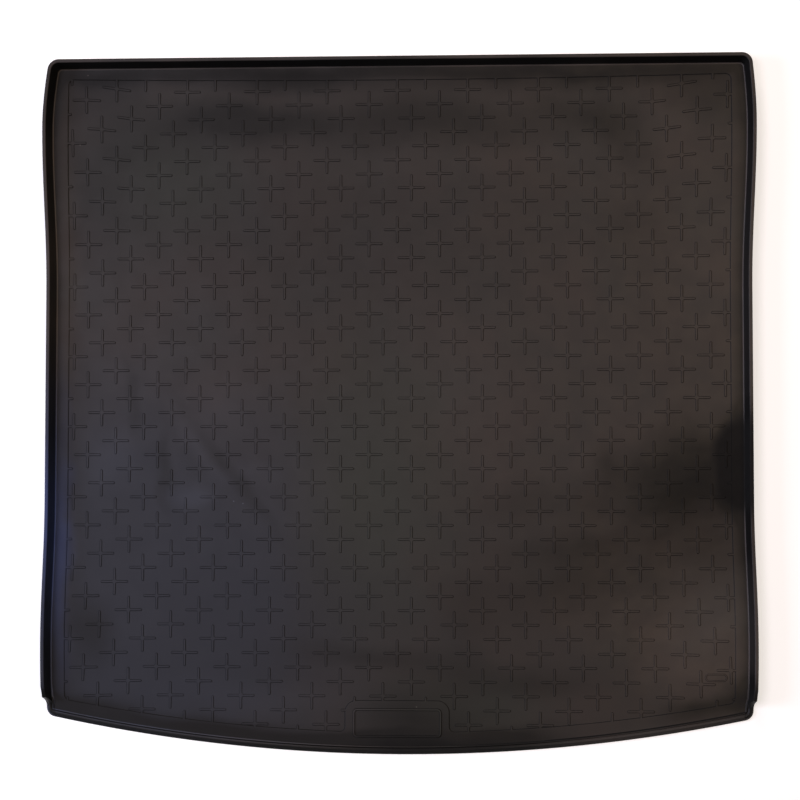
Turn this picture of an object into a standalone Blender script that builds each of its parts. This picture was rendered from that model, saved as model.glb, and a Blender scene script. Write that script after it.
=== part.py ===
"""One-piece moulded rubber mat for a car's luggage bay.

The mat is a shallow tray. Its rim is a leaning wall with a small flange, which drops at the two
front corners to a low lip with two beads along the tailgate edge. The floor is a recessed field
covered with cross-shaped ribs, inside a plain margin that also carries a bare label frame.

Units are metres. +Z is up, the tailgate edge faces -Y and the flat underside lies at Z = 0.
"""
import math

import bmesh
import bpy

# Overall size, over the rim
MAT_DEPTH = 0.980
MAT_WIDTH = 0.9894
RIM_HEIGHT = 0.030

# The sides stand out a little where the bay widens behind and before its wheel arches
REAR_BULGE = 0.0080
REAR_BULGE_FROM_REAR = 0.090
REAR_BULGE_REACH = 0.240
FRONT_BULGE = 0.0047
FRONT_BULGE_FROM_FRONT = 0.155
FRONT_BULGE_REACH = 0.200

# Plan of the corners and of the curved tailgate edge
REAR_CORNER_RADIUS = 0.014
FRONT_CORNER_RADIUS = 0.016
FRONT_EDGE_RADIUS = 2.380

# Section of the wall
MARGIN_THICKNESS = 0.0030
WALL_THICKNESS = 0.0028
WALL_LEAN = 0.0045
FOOT_FILLET = 0.0035
FLANGE_OVERHANG = 0.0014
FLANGE_THICKNESS = 0.0034
FLANGE_NOSE_DROP = 0.0014
RIM_SHOULDER = 0.0006

# Section of the low front lip
LIP_SET_IN = 0.0020
LIP_WIDTH = 0.0115
LIP_EDGE_HEIGHT = 0.0026
LIP_UNDERCUT = 0.0009
OUTER_BEAD_HEIGHT = 0.0056
OUTER_BEAD_FROM_EDGE = 0.0055
GROOVE_HEIGHT = 0.0039
GROOVE_FROM_EDGE = 0.0081
INNER_BEAD_HEIGHT = 0.0051
INNER_BEAD_FROM_EDGE = 0.0099

# The wall falls to the lip over this length, ending at each front corner
RAMP_LENGTH = 0.0165
RAMP_POWER = 2.6

# Recessed field
FIELD_DEPTH = 0.0008
FIELD_FROM_SIDE = 0.0268
FIELD_REAR_BULGE = 0.0037
FIELD_FRONT_BULGE = 0.0035
FIELD_FROM_REAR = 0.0285
FIELD_REAR_BOW = 0.0045
FIELD_FROM_FRONT = 0.0300
FIELD_FRONT_RADIUS = 2.550
FIELD_CORNER_RADIUS = 0.0080

# Cross ribs, on a square lattice turned by one step in two
RIB_STEP_X = 0.0200
RIB_STEP_Y = 0.0199
RIB_ARM = 0.0194
RIB_WIDTH = 0.0044
RIB_END_SLOPE = 0.0012
RIB_BELOW_MARGIN = 0.0001
RIB_ROOT = 0.0004
RIB_BITE = 0.0030
RIB_SHORTEST_END = 0.0120
MIDDLE_CROSS_Y = -0.0510

# The pattern is drawn outward near the corners, and rearward near the two rear ones
EASE_OUT = 0.0065
EASE_BACK = 0.0110
EASE_FROM_EDGE = 0.1247
EASE_WIDTH = 0.0900
EASE_DEPTH = 0.3300

# Label place: a margin-level plateau with a raised frame
PLATEAU_WIDTH = 0.1460
PLATEAU_TOP_FROM_FRONT = 0.0744
PLATEAU_CORNER_RADIUS = 0.0164
PLATEAU_FOOT_RADIUS = 0.0070
FRAME_WIDTH = 0.1250
FRAME_DEPTH = 0.0410
FRAME_FROM_FRONT = 0.0230
FRAME_CORNER_RADIUS = 0.0063
FRAME_RIB = 0.0036
FRAME_HEIGHT = 0.0008

# Oval ring near the right front corner of the field
OVAL_LENGTH = 0.0315
OVAL_DEPTH = 0.0115
OVAL_RIB = 0.0022
OVAL_FROM_SIDE = 0.0504
OVAL_FROM_FRONT = 0.1086

# Facets
CORNER_STEPS = 3
FRONT_STEPS = 5
RAMP_STEPS = 3
FIELD_REAR_STEPS = 5
FIELD_CORNER_STEPS = 2
PLATEAU_STEPS = 3
OVAL_STEPS = 3

REAR_Y = MAT_DEPTH / 2
FRONT_Y = -MAT_DEPTH / 2
FIELD_Z = MARGIN_THICKNESS - FIELD_DEPTH
RIB_TOP = MARGIN_THICKNESS - RIB_BELOW_MARGIN


def clear_scene():
    """Remove every object that a new file starts with."""
    for item in list(bpy.data.objects):
        bpy.data.objects.remove(item, do_unlink=True)


def rubber_material():
    """Black moulded rubber with a soft sheen."""
    material = bpy.data.materials.new("black_rubber")
    material.use_nodes = True
    shader = material.node_tree.nodes["Principled BSDF"]
    shader.inputs["Base Color"].default_value = (0.026, 0.024, 0.026, 1.0)
    shader.inputs["Roughness"].default_value = 0.62
    shader.inputs["Metallic"].default_value = 0.0
    return material


def bump(distance, reach):
    """A raised cosine: one at no distance, falling smoothly to nothing at the reach."""
    if abs(distance) >= reach:
        return 0.0
    return 0.5 + 0.5 * math.cos(math.pi * distance / reach)


def side_x(y, half_width, rear_bulge, front_bulge):
    """Half the width at one depth: the narrow middle plus the two bulges."""
    rear = rear_bulge * bump(y - (REAR_Y - REAR_BULGE_FROM_REAR), REAR_BULGE_REACH)
    front = front_bulge * bump(y - (FRONT_Y + FRONT_BULGE_FROM_FRONT), FRONT_BULGE_REACH)
    return half_width + rear + front


def rim_x(y):
    """Half the width over the rim at one depth."""
    return side_x(y, MAT_WIDTH / 2, REAR_BULGE, FRONT_BULGE)


def field_x(y):
    """Half the width of the recessed field at one depth."""
    return side_x(y, MAT_WIDTH / 2 - FIELD_FROM_SIDE, FIELD_REAR_BULGE, FIELD_FRONT_BULGE)


def arc(centre, radius, start, end, steps):
    """Points along a round stretch, from one angle in degrees to another."""
    points = []
    for step in range(steps + 1):
        angle = math.radians(start + (end - start) * step / steps)
        points.append((centre[0] + radius * math.cos(angle), centre[1] + radius * math.sin(angle)))
    return points


def side(width_at, start_y, end_y):
    """Points down one side, after its start: the crest, middle and end of each bulge, and the last."""
    rear_crest = REAR_Y - REAR_BULGE_FROM_REAR
    front_crest = FRONT_Y + FRONT_BULGE_FROM_FRONT
    stations = [rear_crest - REAR_BULGE_REACH * share for share in (0, 0.5, 1)]
    stations += [front_crest + FRONT_BULGE_REACH * share for share in (1, 0.5, 0)]
    stations = [y for y in sorted(stations, reverse=True) if end_y < y < start_y]
    return [(width_at(y), y) for y in stations + [end_y]]


def ramp(start_y, end_y):
    """Points of the rim where the wall falls to the lip, between the two depths."""
    shares = [step / RAMP_STEPS for step in range(1, RAMP_STEPS)]
    stations = [start_y * (1 - share) + end_y * share for share in shares]
    return [(rim_x(y), y) for y in stations]


def front_y(x, edge_y, edge_radius):
    """Where the curved front lies at one place across it."""
    return edge_y + edge_radius - math.sqrt(edge_radius ** 2 - x ** 2)


def front(edge_y, edge_radius, from_x, to_x, steps):
    """Points along the curved front, after the first and up to the last."""
    points = []
    for step in range(1, steps + 1):
        share = step / steps
        x = from_x * (1 - share) + to_x * share
        points.append((x, front_y(x, edge_y, edge_radius)))
    return points


def front_corner(width_at, radius, edge_y, edge_radius):
    """Centre of the corner that touches the side and the curved front, and its end angle."""
    x = width_at(front_y(MAT_WIDTH / 2, edge_y, edge_radius)) - radius
    centre_y = edge_y + edge_radius
    y = centre_y - math.sqrt((edge_radius - radius) ** 2 - x ** 2)
    return (x, y), math.degrees(math.atan2(y - centre_y, x))


def closed_from_right(points):
    """A closed anticlockwise line from its right half, given from the rear to the front."""
    left = [(-x, y) for x, y in points if x > 0]
    return left + list(reversed(points))


def rim_outline():
    """Closed outer line of the rim, anticlockwise."""
    edge_y = FRONT_Y - LIP_SET_IN
    edge_radius = FRONT_EDGE_RADIUS + LIP_SET_IN
    corner_y = REAR_Y - REAR_CORNER_RADIUS
    rear_centre = (rim_x(corner_y) - REAR_CORNER_RADIUS, corner_y)
    centre, end = front_corner(rim_x, FRONT_CORNER_RADIUS, edge_y, edge_radius)
    ramp_y = centre[1] + RAMP_LENGTH
    points = arc(rear_centre, REAR_CORNER_RADIUS, 90, 0, CORNER_STEPS)
    points += side(rim_x, corner_y, ramp_y)
    points += ramp(ramp_y, centre[1])
    points += arc(centre, FRONT_CORNER_RADIUS, 0, end, CORNER_STEPS)
    points += front(edge_y, edge_radius, points[-1][0], 0.0, FRONT_STEPS)
    return closed_from_right(points)


def wall_share(y):
    """How much of the full wall stands at one depth: all behind the ramp, none before it."""
    edge_y = FRONT_Y - LIP_SET_IN
    edge_radius = FRONT_EDGE_RADIUS + LIP_SET_IN
    centre, end = front_corner(rim_x, FRONT_CORNER_RADIUS, edge_y, edge_radius)
    along = (y - centre[1]) / RAMP_LENGTH
    return min(max(along, 0.0), 1.0) ** RAMP_POWER


def wall_section():
    """Wall section from outside to inside, as steps inward from the rim's edge and heights."""
    slope = WALL_LEAN / (RIM_HEIGHT - MARGIN_THICKNESS - FOOT_FILLET)
    inner_top = FLANGE_OVERHANG + WALL_THICKNESS
    return [
        (FLANGE_OVERHANG + slope * RIM_HEIGHT, 0.0),
        (FLANGE_OVERHANG + slope * FLANGE_THICKNESS, RIM_HEIGHT - FLANGE_THICKNESS),
        (0.0, RIM_HEIGHT - FLANGE_NOSE_DROP),
        (inner_top - RIM_SHOULDER, RIM_HEIGHT),
        (inner_top + WALL_LEAN, MARGIN_THICKNESS + FOOT_FILLET),
        (inner_top + WALL_LEAN + FOOT_FILLET, MARGIN_THICKNESS),
    ]


def lip_section():
    """Section of the low lip, with as many points as the wall's."""
    return [
        (LIP_SET_IN + LIP_UNDERCUT, 0.0),
        (LIP_SET_IN, LIP_EDGE_HEIGHT),
        (LIP_SET_IN + OUTER_BEAD_FROM_EDGE, OUTER_BEAD_HEIGHT),
        (LIP_SET_IN + GROOVE_FROM_EDGE, GROOVE_HEIGHT),
        (LIP_SET_IN + INNER_BEAD_FROM_EDGE, INNER_BEAD_HEIGHT),
        (LIP_SET_IN + LIP_WIDTH, MARGIN_THICKNESS),
    ]


def inward_steps(points):
    """For each point of a closed anticlockwise line, the move that steps every side in by one."""
    moves = []
    count = len(points)
    for index in range(count):
        before, here, after = points[index - 1], points[index], points[(index + 1) % count]
        first = (here[0] - before[0], here[1] - before[1])
        second = (after[0] - here[0], after[1] - here[1])
        first_size, second_size = math.hypot(*first), math.hypot(*second)
        n1 = (-first[1] / first_size, first[0] / first_size)
        n2 = (-second[1] / second_size, second[0] / second_size)
        spread = 1 + n1[0] * n2[0] + n1[1] * n2[1]
        moves.append(((n1[0] + n2[0]) / spread, (n1[1] + n2[1]) / spread))
    return moves


def stepped_in(points, distance):
    """A closed line moved inward by one distance."""
    moves = inward_steps(points)
    return [(x + move[0] * distance, y + move[1] * distance)
            for (x, y), move in zip(points, moves)]


def new_object(name, mesh_data):
    """Put a finished bmesh into a new object of the scene."""
    mesh = bpy.data.meshes.new(name)
    mesh_data.to_mesh(mesh)
    mesh_data.free()
    item = bpy.data.objects.new(name, mesh)
    bpy.context.scene.collection.objects.link(item)
    return item


def add_ring(mesh_data, points, z):
    """Vertices along a closed line at one height."""
    return [mesh_data.verts.new((x, y, z)) for x, y in points]


def add_band(mesh_data, low, high):
    """Faces between two closed rings of vertices, facing out when the rings run anticlockwise."""
    count = len(low)
    for index in range(count):
        after = (index + 1) % count
        mesh_data.faces.new((low[index], low[after], high[after], high[index]))


def tray():
    """The tray before its recess: the rim section carried round the outline, and a flat floor."""
    points = rim_outline()
    moves = inward_steps(points)
    shares = [wall_share(y) for x, y in points]
    mesh_data = bmesh.new()
    rings = []
    for (wall_in, wall_z), (lip_in, lip_z) in zip(wall_section(), lip_section()):
        ring = []
        for (x, y), move, share in zip(points, moves, shares):
            inward = lip_in + (wall_in - lip_in) * share
            z = lip_z + (wall_z - lip_z) * share
            ring.append(mesh_data.verts.new((x + move[0] * inward, y + move[1] * inward, z)))
        rings.append(ring)
    for low, high in zip(rings, rings[1:]):
        add_band(mesh_data, low, high)
    mesh_data.faces.new(list(reversed(rings[0])))
    mesh_data.faces.new(rings[-1])
    return new_object("cargo_mat", mesh_data)


def plateau_edge(edge_y):
    """Right half of the label plateau's edge, from its foot at the front up to its top."""
    half = PLATEAU_WIDTH / 2
    top_y = FRONT_Y + PLATEAU_TOP_FROM_FRONT
    foot_x = half + PLATEAU_FOOT_RADIUS
    foot_y = front_y(foot_x, edge_y, FIELD_FRONT_RADIUS) + PLATEAU_FOOT_RADIUS
    foot = arc((foot_x, foot_y), PLATEAU_FOOT_RADIUS, 270, 180, PLATEAU_STEPS - 1)
    middle = (half - PLATEAU_CORNER_RADIUS, top_y - PLATEAU_CORNER_RADIUS)
    return foot + arc(middle, PLATEAU_CORNER_RADIUS, 0, 90, PLATEAU_STEPS)


def field_outline():
    """Closed edge of the recessed field, anticlockwise, stepping round the label plateau."""
    rear_y = REAR_Y - FIELD_FROM_REAR + FIELD_REAR_BOW
    edge_y = FRONT_Y + FIELD_FROM_FRONT
    corner_y = rear_y - FIELD_CORNER_RADIUS
    rear_x = field_x(corner_y) - FIELD_CORNER_RADIUS
    centre, end = front_corner(field_x, FIELD_CORNER_RADIUS, edge_y, FIELD_FRONT_RADIUS)
    plateau = plateau_edge(edge_y)
    shares = [(1 + 2 * step) / FIELD_REAR_STEPS for step in range(FIELD_REAR_STEPS // 2)]
    points = [(rear_x * share, rear_y - FIELD_REAR_BOW * (1 - share ** 2)) for share in shares]
    points += arc((rear_x, corner_y), FIELD_CORNER_RADIUS, 90, 0, FIELD_CORNER_STEPS)
    points += side(field_x, corner_y, centre[1])[:-1]
    points += arc(centre, FIELD_CORNER_RADIUS, 0, end, FIELD_CORNER_STEPS)
    points += front(edge_y, FIELD_FRONT_RADIUS, points[-1][0], plateau[0][0], FRONT_STEPS - 1)[:-1]
    return closed_from_right(points + plateau)


def field_recess(outline):
    """The space that is taken out of the floor to leave the field below its margin."""
    mesh_data = bmesh.new()
    bottom = add_ring(mesh_data, outline, FIELD_Z)
    top = add_ring(mesh_data, outline, RIM_HEIGHT)
    add_band(mesh_data, bottom, top)
    mesh_data.faces.new(list(reversed(bottom)))
    mesh_data.faces.new(top)
    return new_object("field_recess", mesh_data)


def add_rib_ring(mesh_data, outline, rib_width, low, high):
    """A closed ridged rib that follows an outline, inside it."""
    root = low - RIB_ROOT
    levels = ((0.0, root), (0.0, low), (rib_width / 2, high), (rib_width, low), (rib_width, root))
    rings = [add_ring(mesh_data, stepped_in(outline, inward), z) for inward, z in levels]
    for first, second in zip(rings, rings[1:] + rings[:1]):
        add_band(mesh_data, first, second)


def rounded_rectangle(centre, width, depth, radius, steps):
    """A rectangle with round corners, anticlockwise from its right side."""
    x = width / 2 - radius
    y = depth / 2 - radius
    points = []
    for sign_x, sign_y, start in ((1, 1, 0), (-1, 1, 90), (-1, -1, 180), (1, -1, 270)):
        middle = (centre[0] + sign_x * x, centre[1] + sign_y * y)
        points += arc(middle, radius, start, start + 90, steps)
    return points


def stadium(centre, length, depth, steps):
    """An oval with two straight sides and two half-round ends, anticlockwise."""
    radius = depth / 2
    x = length / 2 - radius
    right = arc((centre[0] + x, centre[1]), radius, -90, 90, steps)
    return right + arc((centre[0] - x, centre[1]), radius, 90, 270, steps)


def add_label_frame(mesh_data):
    """The bare raised frame on the label plateau."""
    centre = (0.0, FRONT_Y + FRAME_FROM_FRONT + FRAME_DEPTH / 2)
    outline = rounded_rectangle(centre, FRAME_WIDTH, FRAME_DEPTH, FRAME_CORNER_RADIUS, 1)
    top = MARGIN_THICKNESS + FRAME_HEIGHT
    add_rib_ring(mesh_data, outline, FRAME_RIB, MARGIN_THICKNESS, top)


def add_oval_ring(mesh_data):
    """The small oval ring that stands in the field."""
    centre = (MAT_WIDTH / 2 - OVAL_FROM_SIDE, FRONT_Y + OVAL_FROM_FRONT)
    outline = stadium(centre, OVAL_LENGTH, OVAL_DEPTH, OVAL_STEPS)
    add_rib_ring(mesh_data, outline, OVAL_RIB, FIELD_Z, RIB_TOP)


def eased(x, y):
    """A point of the pattern, drawn towards its corner of the mat."""
    past = (abs(x) - (MAT_WIDTH / 2 - EASE_FROM_EDGE)) / EASE_WIDTH
    share = min(max(past, 0.0), 1.0)
    near_side = share * share * (3 - 2 * share)
    near_rear = bump(y - REAR_Y, EASE_DEPTH)
    near_front = bump(y - FRONT_Y, EASE_DEPTH)
    outward = EASE_OUT * near_side * (near_rear + near_front)
    return x + math.copysign(outward, x), y + EASE_BACK * near_side * near_rear


def in_field(x, y, outline):
    """Whether a point of the pattern lies inside the field's outline."""
    x, y = eased(x, y)
    crossings = 0
    for (x1, y1), (x2, y2) in zip(outline, outline[1:] + outline[:1]):
        if (y1 > y) != (y2 > y) and x < x1 + (y - y1) * (x2 - x1) / (y2 - y1):
            crossings += 1
    return crossings % 2 == 1


def distance_to_edge(x, y, along, outline):
    """How far a centre lies from the field's edge along one arm."""
    near, far = 0.0, RIB_ARM
    for halving in range(12):
        middle = (near + far) / 2
        if in_field(x + along[0] * middle, y + along[1] * middle, outline):
            near = middle
        else:
            far = middle
    return far


def add_root(mesh_data, plan):
    """The straight root of a rib, up to the field. Returns the vertices at the field."""
    root = add_ring(mesh_data, plan, FIELD_Z - RIB_ROOT)
    foot = add_ring(mesh_data, plan, FIELD_Z)
    add_band(mesh_data, root, foot)
    mesh_data.faces.new(list(reversed(root)))
    return foot


def add_arm(mesh_data, foot, ridge, centre, before, after):
    """Sloping faces of one arm, from its foot up to its ridge."""
    mesh_data.faces.new((before, foot[0], ridge))
    mesh_data.faces.new((before, ridge, centre))
    if len(foot) == 2:
        mesh_data.faces.new((foot[0], foot[1], ridge))
    mesh_data.faces.new((foot[-1], after, ridge))
    mesh_data.faces.new((after, centre, ridge))


def add_cross(mesh_data, x, y, outline):
    """One cross with ridged arms.

    A free arm narrows to its end. One that runs into the margin keeps its width and ends a
    little inside it.
    """
    half = RIB_WIDTH / 2
    plan = []
    ridge_ends = []
    counts = []
    for along in ((1, 0), (0, 1), (-1, 0), (0, -1)):
        across = (-along[1], along[0])
        if in_field(x + along[0] * RIB_ARM, y + along[1] * RIB_ARM, outline):
            length, ridge, sides = RIB_ARM, RIB_ARM - RIB_END_SLOPE, (0,)
        else:
            length = min(RIB_ARM, distance_to_edge(x, y, along, outline) + RIB_BITE)
            ridge, sides = length, (-half, half)
        for side_step in sides:
            plan.append(eased(x + along[0] * length + across[0] * side_step,
                              y + along[1] * length + across[1] * side_step))
        plan.append(eased(x + (along[0] + across[0]) * half, y + (along[1] + across[1]) * half))
        counts.append(len(sides))
        ridge_ends.append(eased(x + along[0] * ridge, y + along[1] * ridge))
    foot = add_root(mesh_data, plan)
    centre = mesh_data.verts.new((*eased(x, y), RIB_TOP))
    start = 0
    for count, ridge in zip(counts, add_ring(mesh_data, ridge_ends, RIB_TOP)):
        add_arm(mesh_data, foot[start:start + count], ridge, centre, foot[start - 1],
                foot[start + count])
        start += count + 1


def add_stub(mesh_data, x, y, along, length):
    """The end of an arm whose cross is hidden in the margin, sloping down to its tip."""
    half = RIB_WIDTH / 2
    across = (-along[1], along[0])
    heel = RIB_ARM - length
    foot = add_root(mesh_data, [
        eased(x + along[0] * RIB_ARM, y + along[1] * RIB_ARM),
        eased(x + along[0] * heel + across[0] * half, y + along[1] * heel + across[1] * half),
        eased(x + along[0] * heel - across[0] * half, y + along[1] * heel - across[1] * half),
    ])
    ridge = mesh_data.verts.new((*eased(x + along[0] * heel, y + along[1] * heel), RIB_TOP))
    for first, second in zip(foot, foot[1:] + foot[:1]):
        mesh_data.faces.new((first, second, ridge))


def lattice():
    """Centres of the crosses over the whole mat, row by row."""
    reach = int(max(MAT_DEPTH, MAT_WIDTH) / min(RIB_STEP_X, RIB_STEP_Y) / 2) + 2
    for i in range(-reach, reach + 1):
        for j in range(-reach, reach + 1):
            yield RIB_STEP_X * (2 * i + j), MIDDLE_CROSS_Y + RIB_STEP_Y * (i - 2 * j)


def add_crosses(mesh_data, outline):
    """Crosses on every lattice point of the field, and the arm ends that reach in from outside."""
    for x, y in lattice():
        if in_field(x, y, outline):
            add_cross(mesh_data, x, y, outline)
            continue
        for along in ((1, 0), (0, 1), (-1, 0), (0, -1)):
            tip = (x + along[0] * RIB_ARM, y + along[1] * RIB_ARM)
            if in_field(tip[0], tip[1], outline):
                seen = distance_to_edge(tip[0], tip[1], (-along[0], -along[1]), outline)
                if seen > RIB_SHORTEST_END:
                    add_stub(mesh_data, x, y, along, seen + RIB_BITE)


def raised_pattern(outline):
    """Everything that stands on the floor, as one object of separate bodies."""
    mesh_data = bmesh.new()
    add_crosses(mesh_data, outline)
    add_label_frame(mesh_data)
    add_oval_ring(mesh_data)
    return new_object("raised_pattern", mesh_data)


def combine(item, other, operation):
    """Add a Boolean with another object, whose bodies may touch each other and which becomes a guide."""
    modifier = item.modifiers.new(other.name, "BOOLEAN")
    modifier.operation = operation
    modifier.solver = "EXACT"
    modifier.use_self = True
    modifier.object = other
    other.hide_render = True
    other.display_type = "WIRE"


def build():
    """Make the mat as one moulded piece."""
    clear_scene()
    mat = tray()
    mat.data.materials.append(rubber_material())
    outline = field_outline()
    combine(mat, field_recess(outline), "DIFFERENCE")
    combine(mat, raised_pattern(outline), "UNION")
    facets = mat.modifiers.new("facets", "TRIANGULATE")
    facets.ngon_method = "BEAUTY"
    facets.quad_method = "BEAUTY"


build()
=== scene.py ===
"""Looks for a one-piece rubber mat of a car's luggage bay.

The mat is made again at the fineness of its mould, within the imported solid's box: a rounded rim,
flange and tailgate beads, a rounded step round the recessed field, and flat-topped cross ribs
with round ends. Metres throughout. +Z is up, the tailgate edge faces -Y.
"""
import math
import bpy
import numpy as np
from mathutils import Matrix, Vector


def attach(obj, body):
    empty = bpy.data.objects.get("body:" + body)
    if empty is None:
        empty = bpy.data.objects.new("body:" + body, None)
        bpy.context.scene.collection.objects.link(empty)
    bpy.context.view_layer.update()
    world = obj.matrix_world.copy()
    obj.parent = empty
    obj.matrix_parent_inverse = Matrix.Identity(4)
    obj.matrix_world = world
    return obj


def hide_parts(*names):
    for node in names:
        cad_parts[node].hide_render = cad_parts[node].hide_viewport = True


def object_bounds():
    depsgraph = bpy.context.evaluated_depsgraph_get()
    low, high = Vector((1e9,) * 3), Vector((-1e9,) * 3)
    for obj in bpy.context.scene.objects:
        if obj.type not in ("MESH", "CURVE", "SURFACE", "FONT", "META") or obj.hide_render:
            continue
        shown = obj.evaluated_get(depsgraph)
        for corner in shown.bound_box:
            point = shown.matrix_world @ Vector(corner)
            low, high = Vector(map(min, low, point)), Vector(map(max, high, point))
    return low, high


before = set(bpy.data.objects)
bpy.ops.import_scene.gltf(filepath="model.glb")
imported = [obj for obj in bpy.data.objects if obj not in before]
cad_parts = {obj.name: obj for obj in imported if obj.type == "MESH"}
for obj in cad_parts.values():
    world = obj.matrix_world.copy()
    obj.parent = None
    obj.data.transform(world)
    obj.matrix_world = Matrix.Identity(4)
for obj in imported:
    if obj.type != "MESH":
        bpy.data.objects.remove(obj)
cad_low, cad_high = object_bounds()

# Overall size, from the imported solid
REAR_Y = cad_high.y
FRONT_Y = cad_low.y
RIM_HEIGHT = cad_high.z
HALF_WIDTH_AT_REAR = cad_high.x

# The sides stand out a little behind and before the wheel arches
REAR_BULGE = 0.0080
REAR_BULGE_FROM_REAR = 0.090
REAR_BULGE_REACH = 0.240
FRONT_BULGE = 0.0047
FRONT_BULGE_FROM_FRONT = 0.155
FRONT_BULGE_REACH = 0.200
HALF_WIDTH = HALF_WIDTH_AT_REAR - REAR_BULGE

# The sides draw in again towards the rear corners, more at the left than at the right
CORNER_PULL_LENGTH = 0.095
CORNER_PULL_POWER = 1.7
LEFT_CORNER_PULL = 0.0068
RIGHT_CORNER_PULL = 0.0040

# Plan of the corners and of the curved tailgate edge
REAR_CORNER_RADIUS = 0.014
FRONT_CORNER_RADIUS = 0.016
FRONT_EDGE_RADIUS = 2.380

# Wall section: distances inward from the rim's edge, heights, and the radius at each corner
MARGIN_Z = 0.0030
WALL_THICKNESS = 0.0029
WALL_LEAN = 0.0033
FOOT_FILLET = 0.0024
FLANGE_OVERHANG = 0.0022
FLANGE_THICKNESS = 0.0034
FLANGE_TAPER = 0.0008
UNDERSIDE_PAST_WALL = 0.0080
MARGIN_PAST_WALL = 0.0032
WALL_CORNER_RADII = (0.0006, 0.0008, 0.0004, 0.0010, 0.0017, FOOT_FILLET)

# Lip section: beads and groove as (inward from the lip's edge, height), and the corner radii
LIP_SET_IN = 0.0020
LIP_WIDTH = 0.0115
LIP_UNDERCUT = (0.0004, 0.0010)
LIP_EDGE_HEIGHT = 0.0026
OUTER_BEAD = (0.0055, 0.0056)
GROOVE = (0.0081, 0.0037)
INNER_BEAD = (0.0099, 0.0051)
UNDERSIDE_PAST_LIP = 0.0060
LIP_CORNER_RADII = (0.0003, 0.0004, 0.0008, 0.0016, 0.0007, 0.0008)

# The wall falls to the lip over this length, ending at each front corner
RAMP_LENGTH = 0.0165
RAMP_POWER = 2.6

# Recessed field
FIELD_DEPTH = 0.0008
FIELD_FROM_SIDE = 0.0268
FIELD_REAR_BULGE = 0.0037
FIELD_FRONT_BULGE = 0.0035
FIELD_FROM_REAR = 0.0285
FIELD_REAR_BOW = 0.0045
FIELD_FROM_FRONT = 0.0300
FIELD_FRONT_RADIUS = 2.550
FIELD_CORNER_RADIUS = 0.0080
FIELD_Z = MARGIN_Z - FIELD_DEPTH

# Step down to the field as (inward from the field's line, height): round foot, slope, round edge
FIELD_STEP = (
    (0.00105, FIELD_Z),
    (0.00075, FIELD_Z + 0.00006),
    (0.00048, FIELD_Z + 0.00020),
    (-0.00018, MARGIN_Z - 0.00020),
    (-0.00045, MARGIN_Z - 0.00006),
    (-0.00075, MARGIN_Z - 0.000005),
    (-0.00105, MARGIN_Z + 0.00010),
    (-0.00105, RIM_HEIGHT),
)

# Label place and its bare frame
PLATEAU_HALF_WIDTH = 0.0730
PLATEAU_TOP_FROM_FRONT = 0.0744
PLATEAU_CORNER_RADIUS = 0.0164
PLATEAU_FOOT_RADIUS = 0.0070
FRAME_WIDTH = 0.1250
FRAME_DEPTH = 0.0410
FRAME_FROM_FRONT = 0.0230
FRAME_CORNER_RADIUS = 0.0063
FRAME_RIB = 0.0037
FRAME_HEIGHT = 0.0016

# Oval ring
OVAL_LENGTH = 0.0315
OVAL_DEPTH = 0.0115
OVAL_RIB = 0.0025
OVAL_CENTRE = (HALF_WIDTH - 0.0504, FRONT_Y + 0.1086)

# Section of a closed rib, in shares of its width and of its height: the slope of each side, the
# rounding beside the flat top, the shoulder's height, and a point on the round foot
RING_SLOPE = 0.20
RING_ROUNDING = 0.08
RING_SHOULDER = 0.80
RING_FOOT = (0.35, 0.12)

# Cross ribs
RIB_STEP = (0.0200, 0.0199)
RIB_ARM = 0.0194
RIB_WIDTH = 0.0038
RIB_HEIGHT = 0.00078
RIB_SLOPE = 0.00066
RIB_TOP_SET_IN = 0.00090
RIB_SHOULDER = 0.88
RIB_ROOT = 0.0004
RIB_BITE = 0.0030
SHORTEST_STUB = 1.2
CROTCH_RADIUS = 0.0011
MIDDLE_CROSS_Y = -0.0510

# Near its four corners the pattern is drawn outwards, rearwards or forwards
EASE_OUT = 0.0065
EASE_BACK = 0.0110
EASE_FORWARD = 0.0026
EASE_FROM_EDGE = 0.1247
EASE_BACK_FROM_EDGE = 0.1427
EASE_WIDTH = 0.0900
EASE_DEPTH = 0.3300

# How finely curves are drawn, in steps for each stretch
CORNER_STEPS = 10
SIDE_STEPS = 60
RAMP_STEPS = 14
LIP_STEPS = 40
SECTION_CORNER_STEPS = 5
FIELD_CORNER_STEPS = 8
FIELD_REAR_STEPS = 24
FIELD_FRONT_STEPS = 24
PLATEAU_CORNER_STEPS = 10
PLATEAU_FOOT_STEPS = 6
FRAME_CORNER_STEPS = 8
OVAL_END_STEPS = 14
RIB_TIP_STEPS = 4

# Rounds of the two searches, a tiny step that keeps points apart, and what counts as the axis
HALVINGS = 12
MEETING_ROUNDS = 6
JUST_BEYOND = 1e-6
ON_AXIS = 1e-9

# Faces that meet at more than this angle keep a sharp edge, and large faces lead the normals
SHARP_EDGE_DEGREES = 40
FLAT_FACE_WEIGHT = 60


def bump(distance, span):
    """Raised cosine: (1 + cos(pi d / span)) / 2 at a distance d within the span, nothing beyond."""
    return np.where(np.abs(distance) < span, 0.5 + 0.5 * np.cos(np.pi * distance / span), 0.0)


def half_width(y, middle, rear_bulge, front_bulge):
    """Half the width at depth y: the narrow middle plus one raised cosine for each bulge."""
    rear = rear_bulge * bump(y - (REAR_Y - REAR_BULGE_FROM_REAR), REAR_BULGE_REACH)
    front = front_bulge * bump(y - (FRONT_Y + FRONT_BULGE_FROM_FRONT), FRONT_BULGE_REACH)
    return middle + rear + front


def rim_x(y):
    """Half the width over the rim at depth y."""
    return half_width(y, HALF_WIDTH, REAR_BULGE, FRONT_BULGE)


def field_x(y):
    """Half the width of the recessed field at depth y."""
    return half_width(y, HALF_WIDTH - FIELD_FROM_SIDE, FIELD_REAR_BULGE, FIELD_FRONT_BULGE)


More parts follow.
